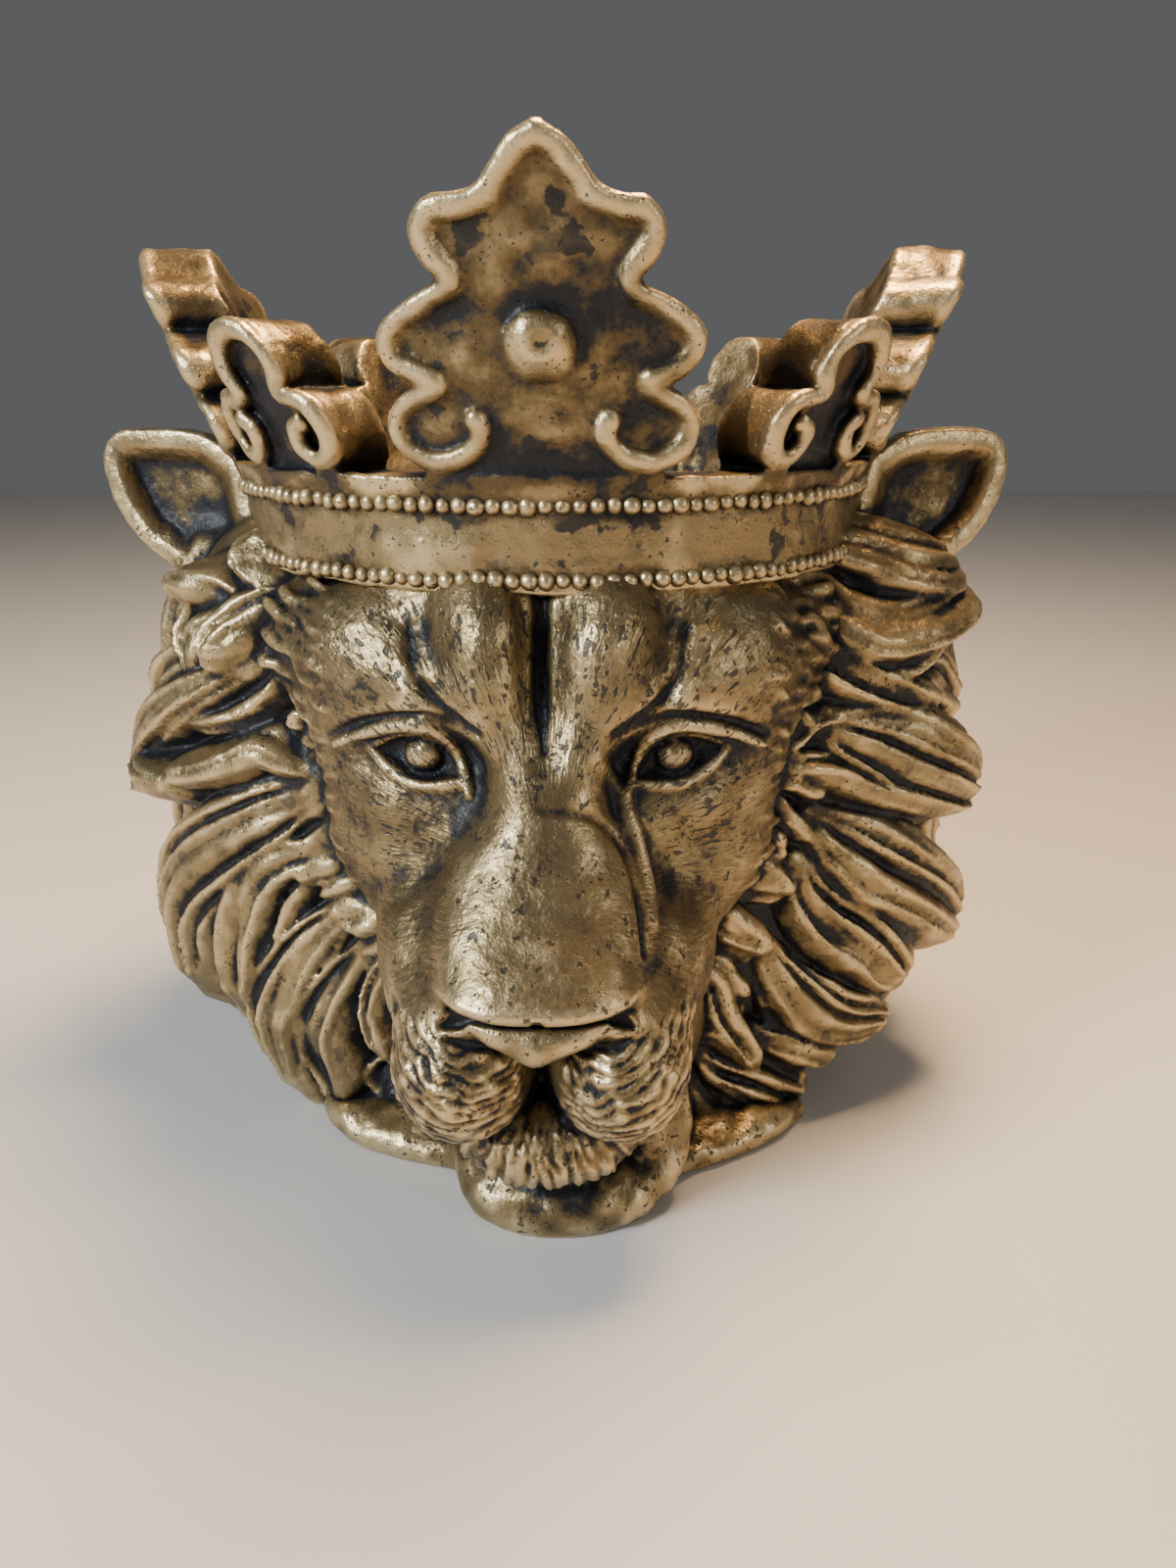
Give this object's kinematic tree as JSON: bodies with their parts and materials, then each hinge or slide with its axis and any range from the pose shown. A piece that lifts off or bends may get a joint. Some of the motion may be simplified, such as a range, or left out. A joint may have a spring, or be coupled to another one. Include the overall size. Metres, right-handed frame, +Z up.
{
  "type": "crowned lion head planter",
  "caption": "Free-standing hollow lion's head planter, its open crown the rim of the pot, cast in one piece with a flat underside.",
  "frame": {"origin": "on the flat underside, at the axis of the crown and of the pot's mouth", "axes": "+Z up through the crown, -Y the way the lion looks, +X to the right of someone who faces the lion"},
  "size_m": [0.3914, 0.3591, 0.3758],
  "materials": {
    "antique_gold": "black paint with antique gold brushed over the raised carving, soft sheen"
  },
  "bodies": {
    "root": {"lion_head_planter": "antique_gold"}
  },
  "joints": []
}
